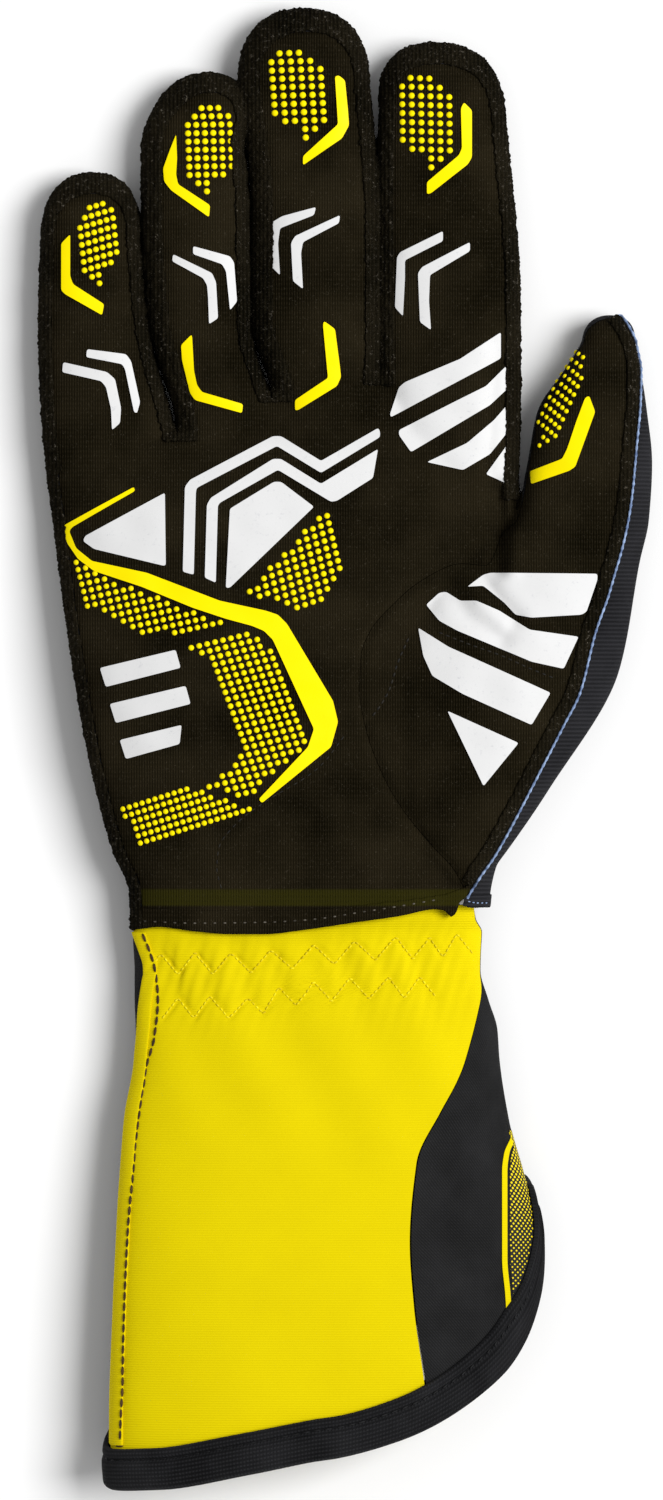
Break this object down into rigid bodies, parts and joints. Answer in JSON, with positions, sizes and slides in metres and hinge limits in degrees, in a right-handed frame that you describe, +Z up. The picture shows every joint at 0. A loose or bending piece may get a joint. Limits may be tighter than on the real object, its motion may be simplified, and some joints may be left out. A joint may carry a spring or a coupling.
{
  "type": "karting glove",
  "caption": "Right-hand driving gauntlet glove lying palm up, with outside finger seams, raised grip prints and a long flared cuff with a slanted bound rim.",
  "frame": {"origin": "centre of the bounding box in plan, at the surface that the glove rests on", "axes": "+X from the little finger to the thumb, +Y from the cuff to the fingertips, +Z up out of the palm"},
  "size_m": [0.1412, 0.34, 0.0256],
  "materials": {
    "suede": "matt brushed suede-like knit",
    "stretch": "matt ribbed stretch cloth",
    "welt": "fuzzy cut edge of the suede-like knit",
    "yellow_cloth": "close woven, slightly satin",
    "black_cloth": "close woven, matt",
    "tape": "ribbed elastic tape",
    "yellow_silicone": "smooth, half gloss",
    "white_silicone": "smooth, half gloss"
  },
  "bodies": {
    "root": {"palm_front": "suede", "thumb_front": "suede", "hand_back": "stretch", "little_back": "stretch", "ring_back": "stretch", "middle_back": "stretch", "index_back": "stretch", "little_welt": "welt", "ring_welt": "welt", "middle_welt": "welt", "index_welt": "welt", "thumb_welt": "welt", "palm_hem": "suede", "little_bracket": "yellow_silicone", "ring_bracket": "yellow_silicone", "middle_bracket": "yellow_silicone", "index_bracket": "yellow_silicone", "thumb_bracket": "yellow_silicone", "ring_base_bracket": "yellow_silicone", "middle_base_bracket": "yellow_silicone", "palm_sweep": "yellow_silicone", "little_chevron_low": "white_silicone", "little_chevron_high": "white_silicone", "ring_chevron_low": "white_silicone", "ring_chevron_high": "white_silicone", "middle_chevron_low": "white_silicone", "middle_chevron_high": "white_silicone", "index_chevron_low": "white_silicone", "index_chevron_high": "white_silicone", "zigzag_outer": "white_silicone", "zigzag_inner": "white_silicone", "triangle": "white_silicone", "kite": "white_silicone", "index_bar_1": "white_silicone", "index_bar_2": "white_silicone", "index_bar_3": "white_silicone", "index_bar_4": "white_silicone", "thumb_bar_1": "white_silicone", "thumb_bar_2": "white_silicone", "thumb_bar_3": "white_silicone", "thumb_bar_4": "white_silicone", "cuff_front": "yellow_cloth", "cuff_side": "black_cloth", "cuff_back": "black_cloth", "cuff_seam_strip": "yellow_cloth", "cuff_binding": "tape"}
  },
  "joints": []
}
